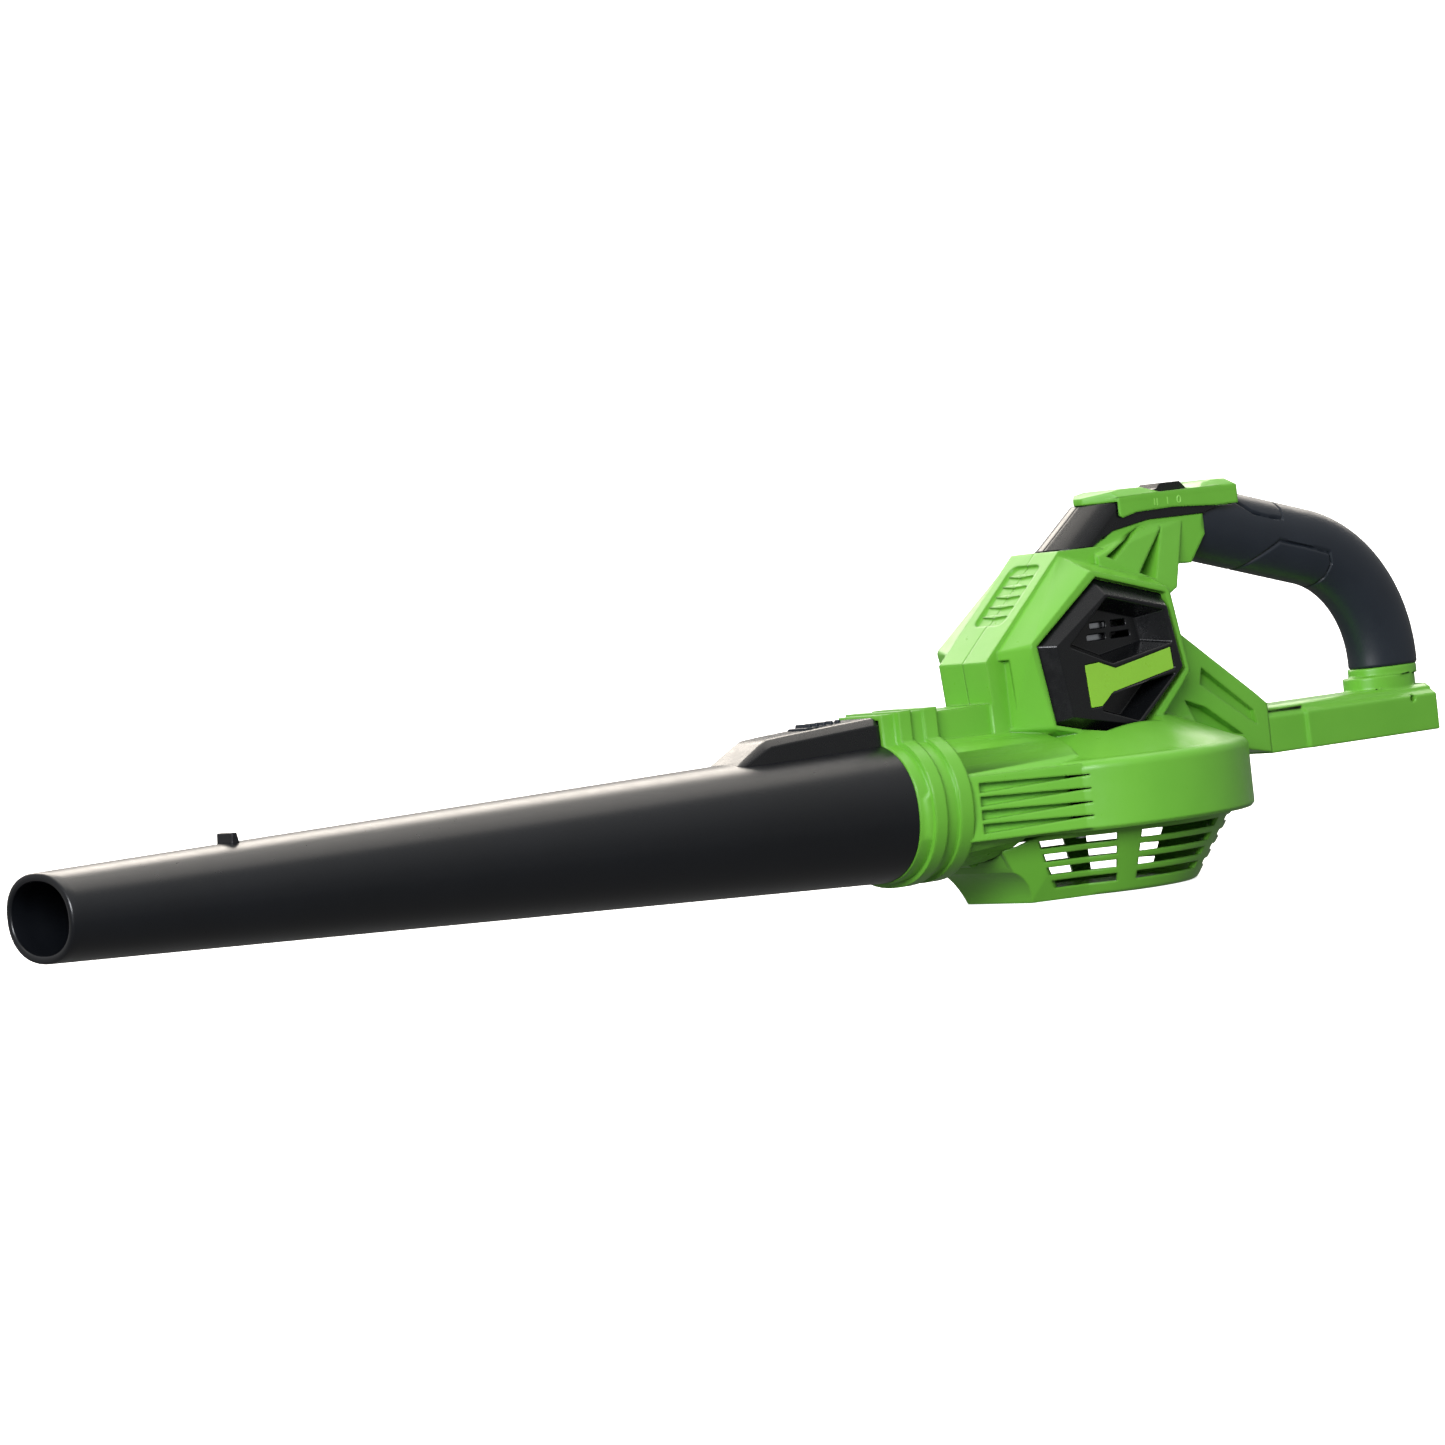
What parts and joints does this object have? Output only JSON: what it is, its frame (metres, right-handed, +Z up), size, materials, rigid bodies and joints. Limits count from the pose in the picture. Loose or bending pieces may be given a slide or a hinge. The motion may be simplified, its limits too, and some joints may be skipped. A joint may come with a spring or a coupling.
{
  "type": "leaf blower",
  "caption": "Cordless garden leaf blower with an oval blow tube, round fan drum over a slotted intake cage, loop handle and battery rail.",
  "frame": {"origin": "on the fan's axis, in the plane that the intake cage stands on", "axes": "-X towards the blow tube's mouth, +X towards the handle, +Z up along the fan's axis, -Y the tool's left side"},
  "size_m": [0.9945, 0.196, 0.2376],
  "materials": {
    "green_abs": "satin moulded ABS",
    "black_plastic": "satin moulded plastic",
    "lime_label": "printed label, satin",
    "soft_grip": "soft overmould",
    "switch_nylon": "matt",
    "contact_brass": "plain",
    "motor_steel": "plain",
    "zinc_steel": "zinc plated",
    "cast_aluminium": "as cast",
    "ferrite": "sintered, matt",
    "copper": "plain copper",
    "circuit_board": "solder mask",
    "lead_insulation": "PVC"
  },
  "bodies": {
    "housing": {"left_housing": "green_abs", "right_housing": "green_abs", "battery_rail": "green_abs", "left_handle_core": "green_abs", "right_handle_core": "green_abs", "intake_cage": "green_abs", "inlet_ring": "black_plastic", "left_vent_panel": "black_plastic", "right_vent_panel": "black_plastic", "left_label_plate": "lime_label", "right_label_plate": "lime_label", "left_neck_cover": "black_plastic", "right_neck_cover": "black_plastic", "switch_cover": "green_abs", "switch_body": "switch_nylon", "grip": "soft_grip", "battery_terminal_block": "black_plastic", "battery_terminals": "contact_brass", "motor_plate": "cast_aluminium", "motor_can": "motor_steel", "motor_magnets": "ferrite", "motor_end_cap": "black_plastic", "motor_brushes": "ferrite", "lower_bearing": "motor_steel", "upper_bearing": "motor_steel", "controller_board": "circuit_board", "motor_leads": "lead_insulation", "battery_leads": "lead_insulation", "housing_screws": "zinc_steel", "motor_screws": "zinc_steel", "cage_screws": "zinc_steel"},
    "nozzle": {"nozzle_tube": "black_plastic", "latch_spring": "zinc_steel"},
    "latch": {"latch_button": "black_plastic"},
    "rotor": {"motor_shaft": "motor_steel", "armature": "motor_steel", "commutator": "copper", "cooling_fan": "black_plastic", "impeller": "black_plastic", "impeller_washer": "zinc_steel", "impeller_nut": "zinc_steel"},
    "switch": {"switch_knob": "black_plastic", "switch_slider": "switch_nylon"}
  },
  "joints": [
    {"name": "nozzle_pull", "type": "slide", "parent": "housing", "child": "nozzle", "axis": [-1, 0, 0], "range_m": [0, 0.06]},
    {"name": "latch_press", "type": "slide", "parent": "nozzle", "child": "latch", "axis": [0, 0, -1], "range_m": [0, 0.003], "stiffness_N_per_m": 400, "springref_m": -0.001, "deforming": ["latch_spring"]},
    {"name": "impeller_spin", "type": "hinge", "parent": "housing", "child": "rotor", "pos_m": [0, 0, 0.08], "axis": [0, 0, 1], "continuous": true},
    {"name": "speed_switch", "type": "slide", "parent": "housing", "child": "switch", "axis": [-1, 0, 0], "range_m": [0, 0.018]}
  ]
}
